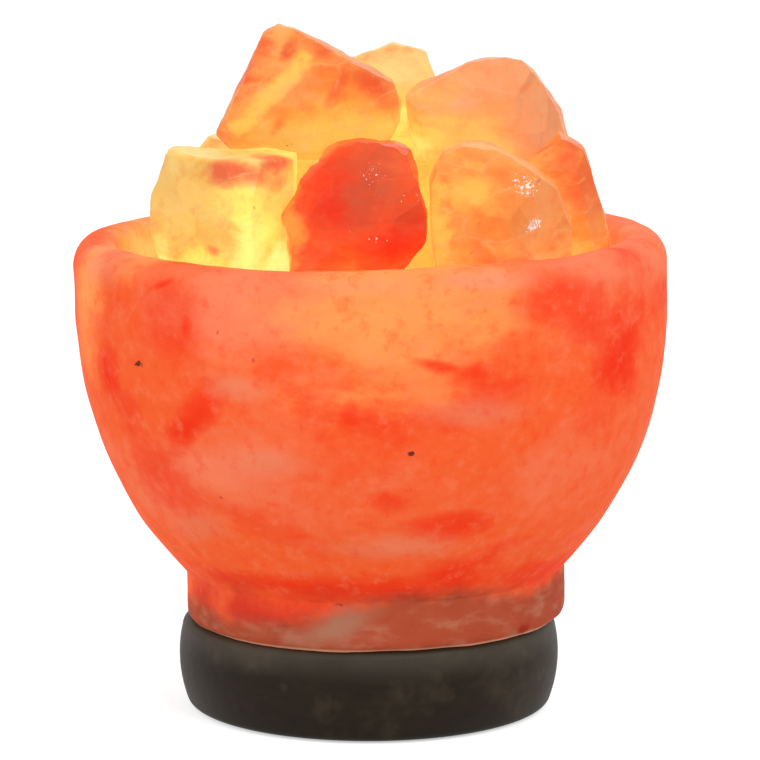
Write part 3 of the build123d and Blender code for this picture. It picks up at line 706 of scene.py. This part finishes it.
# %% The bowl's finish
BOWL_MARKS = [
    ("Warm", (4, -78, 112), (46, 40, 24), 0.85),
    ("Warm", (8, -76, 99), (24, 20, 15), 0.6),
    ("Warm", (-72, -24, 106), (12, 22, 22), 0.6),
    ("Warm", (-30, 72, 104), (40, 26, 22), 0.8),
    ("Warm", (66, 38, 100), (22, 28, 26), 0.6),
    ("Warm", (-74, 26, 96), (16, 24, 20), 0.5),
    ("Stained", (-48, -58, 110), (15, 14, 14), 0.65),
    ("Stained", (-44, -61, 108), (3, 5, 5), 0.9),
    ("Stained", (-50, -56, 117), (6, 6, 1.5), 0.9, 25),
    ("Stained", (-62, -37, 93), (6, 9, 10), 1.0),
    ("Stained", (-58, -42, 84), (9, 10, 12), 0.55),
    ("Stained", (-44, -56, 82), (19, 14, 6), 1.0, 50),
    ("Stained", (-51, -46, 68), (14, 16, 18), 0.6),
    ("Stained", (-20, -60, 74), (20, 12, 8), 0.45),
    ("Stained", (-4, -72, 89), (2.5, 4, 3.5), 0.8),
    ("Stained", (5, -66, 66), (8, 8, 4), 0.75),
    ("Stained", (17, -74, 100), (8, 5, 1.8), 0.9, -14),
    ("Stained", (26, -72, 98), (10, 6, 2.5), 0.5, -6),
    ("Stained", (46, -61, 114), (16, 14, 8), 0.75),
    ("Stained", (61, -44, 100), (14, 16, 16), 1.0),
    ("Stained", (36, -58, 100), (18, 16, 7), 0.25),
    ("Stained", (54, -52, 108), (22, 16, 9), 0.75, -38),
    ("Stained", (56, -48, 86), (12, 12, 10), 0.4),
    ("Stained", (19, -58, 59), (16, 10, 5), 0.8),
    ("Stained", (-14, -50, 41), (60, 30, 5.5), 0.85),
    ("Stained", (40, -30, 40), (30, 40, 5.5), 0.7),
    ("Stained", (0, 52, 42), (60, 36, 7), 0.8),
    ("Stained", (-66, 6, 70), (16, 30, 18), 0.7),
    ("Stained", (20, 62, 74), (34, 18, 14), 0.7),
    ("Stained", (73, 10, 84), (12, 24, 14), 0.6),
    ("Warm", (-50, -40, 119), (16, 14, 7), 0.85),
    ("Stained", (30, -52, 65), (10, 10, 5), 0.5),
    # Frosted marks on the rim's top, at 119 to 121, are frosted salt and a painted highlight along the rim.
    ("Frosted", (28, -70, 120), (18, 8, 2.5), 0.8),
    ("Frosted", (-12, -75, 119), (44, 8, 3), 0.45),
    ("Frosted", (50, -38, 121), (12, 12, 3), 0.5),
    ("Warm", (62, -4, 118), (10, 30, 8), 0.4),
    ("Warm", (-54, -20, 112), (8, 26, 14), 1.0),
    ("Warm", (-57, 26, 114), (14, 26, 14), 1.0),
    ("Hot", (-57, 24, 113), (9, 20, 9), 0.25),
    ("Hot", (-52, -28, 112), (7, 12, 10), 0.6),
    ("Frosted", (64, 4, 121), (6, 12, 4), 0.6),
    ("Hot", (52, -26, 112), (6, 12, 8), 0.3),
    ("Frosted", (66, -32, 88), (1.2, 2.0, 2.4), 0.8),
    ("Frosted", (39, -47, 66), (1.0, 2.0, 1.6), 0.7),
    ("Frosted", (-66, -32, 119), (14, 18, 6), 0.6),
    ("Warm", (-69, -27, 114), (12, 16, 14), 0.8),
    ("Frosted", (60, -20, 119), (18, 34, 4), 0.55),
    ("Frosted", (-20, 66, 119), (50, 20, 4), 0.6),
    ("Frosted", (-35, -58, 82), (5, 6, 3), 0.55),
    ("Frosted", (-29, -65, 94), (9, 8, 4), 0.55),
    ("Frosted", (-22, -62, 76), (16, 10, 5), 0.55),
    ("Frosted", (26, -68, 88), (16, 10, 4), 0.45),
    ("Frosted", (4, -60, 53), (18, 10, 4.5), 0.6),
    ("Frosted", (-40, -44, 55), (8, 8, 5), 0.4),
    ("Frosted", (70, -14, 76), (10, 22, 20), 0.12),
    ("Specked", (10.6, -70, 78.3), (1.6, 8, 1.2), 1.0, -20),
    ("Specked", (-56, -48, 96.8), (1.9, 8, 1.1), 0.8, 15),
    ("Specked", (-7, -48, 36), (1.4, 2, 0.9), 0.8),
]
BOWL_TINTS = dict(
    pale=(0.98, 0.235, 0.115),
    body=(0.97, 0.125, 0.028),
    red=(0.94, 0.033, 0.005),
    yellow=(1.0, 0.35, 0.09),
    frost=(0.95, 0.30, 0.16),
)
bowl_salt = salt_material(
    "bowl_salt_lit",
    BOWL_MARKS,
    patch_size=0.030,
    turn=-24.0,
    stretch=(0.6, 0.8, 1.25),
    near_bulb=(0.060, 0.076),
    pale_share=0.47,
    vein_share=0.36,
    cracks=0.0,
    faces=0.06,
    mottled=0.35,
    glow=0.53,
    rough=0.6,
    **BOWL_TINTS,
)
print("marks on the bowl:", len(BOWL_MARKS))

# %% [markdown]
# The foot is treated apart, in the same material: low down, its own cloudy salt takes over. A mask that
# follows the height above the wood picks it out, and the thin polished line where it stands on the wood. Its
# upper edge is ragged and climbs to the right, and is highest a little right of the middle.

# %% The cloudy foot
FOOT_RAGGED = 0.011
FOOT_CLIMB = 0.055
FOOT_PEAK = (0.016, -0.05, 0.03)
FOOT_PEAK_HEIGHT = 0.006
FOOT_EDGE = (0.0175, 0.0115)
DEEP_BROWN = (0.27, 0.022, 0.009, 1)
LIGHT_BROWN = (0.43, 0.11, 0.05, 1)
VEIN_GREY = (0.42, 0.17, 0.1, 1)
PATCH_GREY = (0.36, 0.185, 0.115, 1)

tree = bowl_salt.node_tree
shader = next(node for node in tree.nodes if node.type == "BSDF_PRINCIPLED")
place = add_node(tree, "ShaderNodeTexCoord").outputs["Object"]
parts = add_node(tree, "ShaderNodeSeparateXYZ", {0: place}).outputs
height = maths(tree, "MULTIPLY_ADD", parts["X"], -math.sin(BOWL_LEAN), parts["Z"])
above_wood = maths(tree, "SUBTRACT", height, BASE_TOP * MM)
inputs = {"Vector": place, "Scale": 55.0, "Detail": 6.0, "Roughness": 0.62}
clouds = add_node(tree, "ShaderNodeTexNoise", inputs).outputs[0]
edge = maths(tree, "MULTIPLY_ADD", clouds, FOOT_RAGGED, above_wood)
edge = maths(tree, "MULTIPLY_ADD", parts["X"], -FOOT_CLIMB, edge)
inputs = {0: place, 1: FOOT_PEAK}
reach = add_node(tree, "ShaderNodeVectorMath", inputs, operation="DISTANCE").outputs["Value"]
edge = maths(tree, "MULTIPLY_ADD", soft_step(tree, reach, 0.036, 0.005), -FOOT_PEAK_HEIGHT, edge)
cloudy = maths(tree, "MULTIPLY", soft_step(tree, edge, *FOOT_EDGE), 0.94)
torn = maths(tree, "MULTIPLY_ADD", clouds, 2.4, -1.2)
inputs = {"Vector": place, "Rotation": (0, math.radians(35), 0), "Scale": (110.0, 110.0, 280.0)}
vein_place = add_node(tree, "ShaderNodeMapping", inputs).outputs[0]
inputs = {"Vector": vein_place, "Scale": 1.0, "Detail": 5.0}
grey_vein = add_node(tree, "ShaderNodeTexNoise", inputs).outputs[0]
grey_vein = maths(tree, "MULTIPLY", soft_step(tree, grey_vein, 0.46, 0.7), 0.75)
grey_patch = mark(tree, place, torn, (-9, -48, 29.5), (15, 12, 4), 0.85, slope=24)
brown = mix_colour(tree, clouds, DEEP_BROWN, LIGHT_BROWN)
brown = mix_colour(tree, grey_vein, brown, VEIN_GREY)
brown = mix_colour(tree, grey_patch, brown, PATCH_GREY)
dim_brown = mix_colour(tree, 1.0, brown, (0.3, 0.22, 0.2, 1), "MULTIPLY")
dull = mark(tree, place, torn, (-28, -36, 31), (36, 26, 9), 1.0)
dull = mark(tree, place, torn, (-10, -48, 38), (60, 40, 4), 0.35, dull)
chip = mark(tree, place, torn, (39, -32, 26), (2.2, 3, 1.4))
polished = maths(tree, "MULTIPLY", soft_step(tree, above_wood, 0.0013, 0.0006), 0.8)


def lay_over(share, colour, light):
    """Lays a colour, and the light that comes through it, over what already feeds the shader."""
    for socket_name, new in (("Base Color", colour), ("Emission Color", light)):
        socket = shader.inputs[socket_name]
        under = socket.links[0].from_socket
        tree.links.new(mix_colour(tree, share, under, new), socket)


lay_over(dull, (0.62, 0.04, 0.018, 1), (0.24, 0.012, 0.005, 1))
lay_over(cloudy, brown, dim_brown)
lay_over(polished, (0.9, 0.5, 0.33, 1), (0.18, 0.08, 0.04, 1))
lay_over(chip, (0.3, 0.025, 0.012, 1), (0.1, 0.005, 0.002, 1))
print("bowl's finish:", len(tree.nodes), "nodes")
bowl.data.materials.append(bowl_salt)
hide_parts("salt_bowl")
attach(bowl, "lamp_base")

# %% [markdown]
# ## The crystals
# Each crystal is a lump knocked off a larger block. The model has its flat breaks; what it lacks is the
# shell-shaped scallops that salt breaks in and the softness that handling gives. A merged copy of the node
# is rebuilt from small cubes of one size, which gives it an even skin, and that skin is pushed about: by
# cell-shaped scallops, then by broad and fine clouds. It moves in much more than out, so that a crystal
# still lifts out past its neighbours.

# %% Scallops, lumps and grit
CUBE = 0.8
WELD = 0.01
SCALLOP_LEVEL = 0.7
LUMP_LEVEL = 0.65
GRIT_LEVEL = 0.6

scallops = bpy.data.textures.new("scallops", "VORONOI")
scallops.noise_scale = 0.013
scallops.distance_metric = "DISTANCE"
lumps = cloud_texture("lumps", 0.008, 2)
grit = cloud_texture("grit", 0.0018, 2)


def broken_crystal(node_name, scallop_depth, lump_depth, grit_depth):
    """Makes the detailed twin of one crystal in the model, and puts it in that node's place."""
    node = frame["nodes"][node_name]
    piece = bpy.data.objects.new(node_name + "_salt", node.data.copy())
    bpy.context.scene.collection.objects.link(piece)
    piece.data.materials.clear()
    take_up(piece)
    bpy.ops.object.mode_set(mode="EDIT")
    bpy.ops.mesh.select_all(action="SELECT")
    bpy.ops.mesh.remove_doubles(threshold=WELD * MM)
    bpy.ops.object.mode_set(mode="OBJECT")
    piece.data.remesh_voxel_size = CUBE * MM
    bpy.ops.object.voxel_remesh()
    push(piece, "scallops", scallops, scallop_depth, SCALLOP_LEVEL)
    apply_modifier(piece, "SMOOTH", "worn", factor=0.5, iterations=1)
    push(piece, "lumps", lumps, lump_depth, LUMP_LEVEL)
    push(piece, "grit", grit, grit_depth, GRIT_LEVEL)
    take_up(piece)
    bpy.ops.object.shade_smooth()
    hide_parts(node_name)
    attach(piece, node_name)
    return piece


# %% [markdown]
# The crystals differ in colour and in how the light reaches them. Four families of salt give the tints:
# amber, pale, red and pink. What makes each stone that stone is its marks. The pale one at the front left
# is nearly clear and shines yellow where it meets the rim, under a pinkish top; the red one is stained so
# deeply that hardly any light gets through, and is frosted by its broken face; the large amber one on top
# has a red corner at the left and a clear band across it.

# %% Families of salt
AMBER = dict(
    pale=(0.97, 0.42, 0.12),
    body=(0.94, 0.25, 0.045),
    red=(0.84, 0.105, 0.03),
    yellow=(1.0, 0.58, 0.095),
    frost=(0.97, 0.43, 0.17),
)
PALE = dict(
    pale=(0.99, 0.66, 0.22),
    body=(0.99, 0.58, 0.12),
    red=(0.92, 0.16, 0.06),
    yellow=(1.0, 0.88, 0.15),
    frost=(0.99, 0.6, 0.22),
)
RED = dict(
    pale=(0.86, 0.11, 0.04),
    body=(0.92, 0.07, 0.014),
    red=(0.86, 0.035, 0.009),
    yellow=(1.0, 0.28, 0.045),
    frost=(0.70, 0.09, 0.035),
)
PINK = dict(
    pale=(0.97, 0.41, 0.22),
    body=(0.97, 0.31, 0.11),
    red=(0.9, 0.19, 0.075),
    yellow=(1.0, 0.58, 0.11),
    frost=(0.98, 0.43, 0.19),
)
FAMILIES = {"amber_salt": AMBER, "pale_salt": PALE, "red_salt": RED, "pink_salt": PINK}

# How deep a crystal's scallops, lumps and grit are, in millimetres, and the two that break otherwise.
USUAL_BREAK = (1.8, 0.9, 0.3)
BREAKS = {"crystal_front_red": (2.6, 1.4, 0.6), "crystal_front_right": (1.5, 0.9, 0.2)}

# %% Marks of the crystals
# Sparkling marks paint glints: bright highlights laid into a crystal's finish.
CRYSTAL_MARKS = {
    "crystal_top_left": [
        ("Warm", (-23, -16, 160), (20, 30, 3.4), 0.8, 47),
        ("Warm", (-32, -16, 151), (6, 30, 4), 0.7, 30),
        ("Stained", (-30, -16, 167), (13, 30, 5), 1.0, 58),
        ("Stained", (-20, -16, 170), (4, 30, 2), 0.9, 60),
        ("Stained", (-12, -16, 170), (6, 30, 3), 0.8, -30),
        ("Stained", (-7, -16, 162), (9, 30, 2.6), 0.75, 62),
        ("Stained", (1, -16, 162), (9, 30, 5), 0.9, -45),
        ("Stained", (-23, -16, 151), (6, 20, 1.6), 0.5, 60),
        ("Warm", (0, -16, 153), (4, 20, 4), 0.6),
        ("Warm", (-14, -16, 146), (22, 30, 3), 0.4),
        ("Warm", (-17, -17, 153), (8, 20, 3.5), 0.5),
        ("Frosted", (-17, -17, 160), (7, 8, 5.5), 0.45),
        ("Specked", (-20, -16, 146), (2, 6, 2), 0.25),
    ],
    "crystal_front_left": [
        ("Warm", (-24, -46, 128), (12, 22, 14), 1.0),
        ("Warm", (-30, -52, 136), (11, 16, 6), 0.9),
        ("Warm", (-42, -40, 118), (22, 30, 8), 0.95),
        ("Hot", (-21, -40, 120), (5, 16, 6), 1.0),
        ("Hot", (-28, -52, 124), (7, 16, 9), 0.45),
        ("Hot", (-51, -32, 119), (4, 12, 6), 0.8),
        ("Hot", (-36, -46, 116), (18, 16, 4), 0.6),
        ("Frosted", (-48, -36, 136), (8, 24, 8), 0.3),
        ("Stained", (-34, -48, 143), (11, 10, 4), 1.0),
        ("Stained", (-22, -42, 145.5), (7, 12, 3.5), 1.0),
        ("Stained", (-22, -42, 140), (5, 12, 3), 0.5),
        ("Stained", (-38, -47, 124), (2.5, 6, 2), 0.7),
    ],
    "crystal_front_red": [
        ("Warm", (-19, -50, 130), (6, 18, 17), 1.0),
        ("Hot", (-22, -46, 122), (3, 14, 8), 0.8),
        ("Warm", (-4, -58, 116), (26, 26, 3.5), 0.9),
        ("Stained", (-8, -56, 138), (9, 24, 12), 1.0),
        ("Stained", (6, -59, 127), (10, 14, 5), 1.0),
        ("Frosted", (1, -54, 141), (9, 20, 10), 0.9),
        ("Frosted", (-2, -56, 132), (5, 20, 6), 0.6),
        ("Frosted", (9, -56, 133), (6, 14, 5), 0.6),
        ("Sparkling", (1, -52, 144), (5, 12, 4), 0.62),
        ("Sparkling", (2, -58, 129), (9, 10, 4), 0.62),
        ("Sparkling", (10, -54, 138), (4, 10, 4), 0.55),
    ],
    "crystal_front_right": [
        ("Warm", (15, -48, 132), (9, 22, 20), 0.95),
        ("Hot", (10, -52, 120), (4, 14, 7), 0.7),
        ("Warm", (36, -46, 118), (20, 22, 6), 0.75),
        ("Warm", (23, -50, 138), (12, 20, 10), 0.6),
        ("Warm", (25, -52, 132), (7, 14, 6), 0.35),
        ("Sparkling", (38, -46, 139), (6, 10, 4.5), 0.8),
        ("Sparkling", (41, -45, 130.5), (4.4, 8, 3.2), 1.25),
        ("Stained", (27, -51, 126), (4, 14, 8), 0.45),
        ("Stained", (30, -51, 143), (8, 14, 3), 0.4),
        ("Frosted", (42, -45, 133), (8, 20, 11), 0.5),
    ],
    "crystal_right": [
        ("Stained", (53, -14, 136), (9, 24, 12), 0.75),
        ("Warm", (50, -14, 118), (14, 24, 9), 0.7),
        ("Frosted", (57, -14, 128), (3, 12, 8), 0.15),
    ],
    "crystal_top_right": [
        ("Warm", (13, 0, 146), (13, 26, 9), 1.0),
        ("Hot", (9, -2, 143), (6, 20, 4), 0.6),
        ("Warm", (26, -2, 141), (20, 26, 4), 0.8),
        ("Frosted", (35, 2, 162), (14, 20, 6), 0.6),
        ("Frosted", (44, 4, 148), (10, 20, 14), 1.0),
        ("Frosted", (24, 0, 155), (9, 16, 3), 0.6),
    ],
    "crystal_back": [
        ("Warm", (4, 31, 151), (18, 20, 8), 0.7),
        ("Frosted", (8, 31, 162), (18, 14, 10), 1.0),
        ("Hot", (5, 30, 161), (12, 14, 9), 0.3),
        ("Hot", (4, 26, 150), (10, 16, 6), 0.5),
    ],
    "crystal_back_left": [
        ("Warm", (-36, 22, 138), (14, 20, 12), 0.6),
        ("Frosted", (-42, 22, 142), (8, 14, 5), 0.5),
    ],
    "crystal_back_right": [
        ("Stained", (36, 50, 130), (12, 10, 8), 0.7),
        ("Warm", (34, 40, 114), (16, 20, 8), 0.8),
    ],
}

# %% Build and finish the crystals
slots = {row["node"]: row["material_slot"] for row in frame["record"]["subparts"]}
crystal_names = sorted(name for name, slot in slots.items() if slot in FAMILIES)
for number, name in enumerate(crystal_names):
    finish = salt_material(
        name + "_lit",
        CRYSTAL_MARKS.get(name, []),
        patch_size=0.013,
        turn=35.0 + 70.0 * number,
        stretch=(0.8, 0.8, 1.3),
        near_bulb=(0.040, 0.080),
        pale_share=0.5,
        vein_share=0.4,
        cracks=0.35,
        faces=0.45,
        mottled=0.25,
        **FAMILIES[slots[name]],
    )
    crystal = broken_crystal(name, *BREAKS.get(name, USUAL_BREAK))
    crystal.data.materials.append(finish)
    print(count_faces(crystal))


# %% [markdown]
# ## Wood, metal and plastic
# The base and the lamp's fittings keep the model's own shapes. The wood is stained nearly black, with its
# grain just showing, a thin satin lacquer and a painted sheen along its upper edge, and the metal and
# plastic pieces are plain stock.


# %% Plain stock
def plain_material(name, colour, metallic, roughness, scale, streak, depth):
    """Stock metal or plastic: fine uneven marks in colour, gloss and surface."""
    material, tree, place = new_material(name)
    stretched = add_node(tree, "ShaderNodeMapping", {"Vector": place, "Scale": streak}).outputs[0]
    inputs = {"Vector": stretched, "Scale": scale, "Detail": 5.0}
    marks = add_node(tree, "ShaderNodeTexNoise", inputs).outputs[0]
    darker = tuple(c * 0.7 for c in colour)
    shade = mix_colour(tree, marks, (*darker, 1), (*colour, 1))
    rough = maths(tree, "MULTIPLY_ADD", marks, 0.3, roughness - 0.15)
    bumps = add_node(tree, "ShaderNodeBump", {"Height": marks, "Distance": depth * MM, "Strength": 0.4})
    inputs = {"Base Color": shade, "Roughness": rough, "Normal": bumps.outputs[0], "Metallic": metallic}
    add_shader(tree, inputs)
    return material


# %% Wood
# Where the stain is worn: the middle of each patch and its radius, in millimetres.
WOOD_MARKS = [
    ((15, -45, 15), 5.5),
    ((-10, -46, 8), 5.0),
    ((33, -35, 17), 4.0),
    ((-21, -44, 14), 0.8),
    ((4, 46, 14), 6.0),
]
DARK_GRAIN = (0.008, 0.0055, 0.003, 1)
LIGHT_GRAIN = (0.028, 0.019, 0.010, 1)
WORN_STAIN = (0.09, 0.066, 0.04, 1)
# A painted sheen: the lamp's broad highlight along the base's upper edge, laid in as a lighter colour.
PAINTED_SHOULDER_SHEEN = (0.1, 0.086, 0.064, 1)
BARE_FLECK = (0.3, 0.25, 0.2, 1)


def lacquered_wood(name):
    """Nearly black stain under satin lacquer: grain one way, worn brownish patches, flecks, a painted sheen.
    """
    material, tree, place = new_material(name)
    along = add_node(tree, "ShaderNodeMapping", {"Vector": place, "Scale": (0.25, 1, 1)}).outputs[0]
    grain = add_node(tree, "ShaderNodeTexNoise", {"Vector": along, "Scale": 420.0, "Detail": 6.0}).outputs[0]
    inputs = {"Vector": place, "Scale": 38.0, "Detail": 4.0, "Roughness": 0.6}
    patches = add_node(tree, "ShaderNodeTexNoise", inputs).outputs[0]
    worn = soft_step(tree, patches, 0.52, 0.75)
    inputs = {"Vector": place, "Scale": 150.0, "Detail": 3.0}
    smudges = add_node(tree, "ShaderNodeTexNoise", inputs).outputs[0]
    dots = add_node(tree, "ShaderNodeTexVoronoi", {"Vector": place, "Scale": 90.0}).outputs
    chosen = add_node(tree, "ShaderNodeSeparateColor", {0: dots["Color"]}).outputs[0]
    fleck = maths(tree, "LESS_THAN", dots["Distance"], 0.035)
    fleck = maths(tree, "MULTIPLY", fleck, maths(tree, "GREATER_THAN", chosen, 0.93))
    torn = maths(tree, "MULTIPLY_ADD", smudges, 5.0, -2.4)
    for centre, size in WOOD_MARKS:
        worn = mark(tree, place, torn, centre, (size, size, size), 0.7, worn)
    # Painted sheen: along the base's upper edge the colour is lightened in patches, for the lamp's highlight.
    up = add_node(tree, "ShaderNodeSeparateXYZ", {0: place}).outputs["Z"]
    shoulder_sheen = maths(tree, "MULTIPLY", soft_step(tree, up, 0.015, 0.0225), patches)
    stain = mix_colour(tree, grain, DARK_GRAIN, LIGHT_GRAIN)
    stain = mix_colour(tree, maths(tree, "MULTIPLY", worn, smudges), stain, WORN_STAIN)
    stain = mix_colour(tree, shoulder_sheen, stain, PAINTED_SHOULDER_SHEEN)
    stain = mix_colour(tree, maths(tree, "MULTIPLY", fleck, 0.7), stain, BARE_FLECK)
    rough = maths(tree, "MULTIPLY_ADD", patches, 0.3, 0.33)
    rough = maths(tree, "MULTIPLY_ADD", grain, 0.1, rough)
    bumps = add_node(tree, "ShaderNodeBump", {"Height": grain, "Distance": 0.25 * MM, "Strength": 0.35})
    inputs = {
        "Base Color": stain,
        "Roughness": rough,
        "Normal": bumps.outputs[0],
        "Specular IOR Level": 0.13,
    }
    add_shader(tree, inputs)
    return material


# %% Metal and plastic stock
EVEN = (1, 1, 1)
# For each slot: its name, colour, metallic, roughness, and its marks' scale, stretch and depth in mm.
STOCK = {
    "pad_rubber": ("pad_rubber_black", (0.02, 0.02, 0.02), 0.0, 0.8, 900.0, EVEN, 0.1),
    "screw_steel": ("zinc_screw", (0.55, 0.55, 0.57), 1.0, 0.35, 1500.0, EVEN, 0.02),
    "plate_steel": ("zinc_plate", (0.6, 0.58, 0.52), 1.0, 0.4, 800.0, (1, 6, 1), 0.02),
    "spring_steel": ("spring_wire", (0.45, 0.45, 0.47), 1.0, 0.3, 1500.0, (1, 1, 6), 0.02),
    "bush_plastic": ("bush_black", (0.02, 0.02, 0.02), 0.0, 0.6, 900.0, EVEN, 0.05),
    "holder_plastic": ("phenolic_black", (0.025, 0.02, 0.02), 0.0, 0.35, 700.0, EVEN, 0.03),
    "socket_brass": ("pressed_brass", (0.65, 0.42, 0.14), 1.0, 0.35, 900.0, (1, 1, 4), 0.02),
    "cap_nickel": ("nickel_cap", (0.6, 0.58, 0.52), 1.0, 0.3, 900.0, (1, 1, 4), 0.02),
    "cap_glass": ("black_glass", (0.02, 0.02, 0.03), 0.0, 0.2, 400.0, EVEN, 0.01),
    "solder": ("dull_solder", (0.4, 0.4, 0.4), 1.0, 0.5, 900.0, EVEN, 0.05),
    "lead_wire": ("nickel_wire", (0.5, 0.47, 0.42), 1.0, 0.3, 900.0, EVEN, 0.01),
}
finishes = {slot: plain_material(*values) for slot, values in STOCK.items()}
finishes["dark_wood"] = lacquered_wood("dark_wood_lacquered")


# %% Glass and filament
def clear_glass(name):
    material, tree, place = new_material(name)
    ripples = add_node(tree, "ShaderNodeTexNoise", {"Vector": place, "Scale": 120.0, "Detail": 2.0})
    bumps = add_node(tree, "ShaderNodeBump", {"Height": ripples.outputs[0], "Distance": 0.05 * MM})
    inputs = {
        "Base Color": (1.0, 0.93, 0.8, 1),
        "Roughness": 0.05,
        "IOR": 1.45,
        "Transmission Weight": 1.0,
        "Normal": bumps.outputs[0],
    }
    add_shader(tree, inputs)
    return material


def glowing_wire(name):
    material, tree, place = new_material(name)
    turns = add_node(tree, "ShaderNodeTexWave", {"Vector": place, "Scale": 900.0}).outputs[0]
    heat = mix_colour(tree, turns, (1.0, 0.45, 0.12, 1), (1.0, 0.8, 0.45, 1))
    inputs = {"Base Color": (0.2, 0.18, 0.15, 1), "Emission Color": heat, "Emission Strength": 6.0}
    add_shader(tree, inputs)
    return material


finishes["clear_glass"] = clear_glass("bulb_glass_clear")
finishes["filament_wire"] = glowing_wire("hot_filament")

# %% Dress the model's own pieces
for name, slot in slots.items():
    if slot in finishes:
        mesh = frame["nodes"][name].data
        mesh.materials.clear()
        mesh.materials.append(finishes[slot])
        print(name, "is", finishes[slot].name)
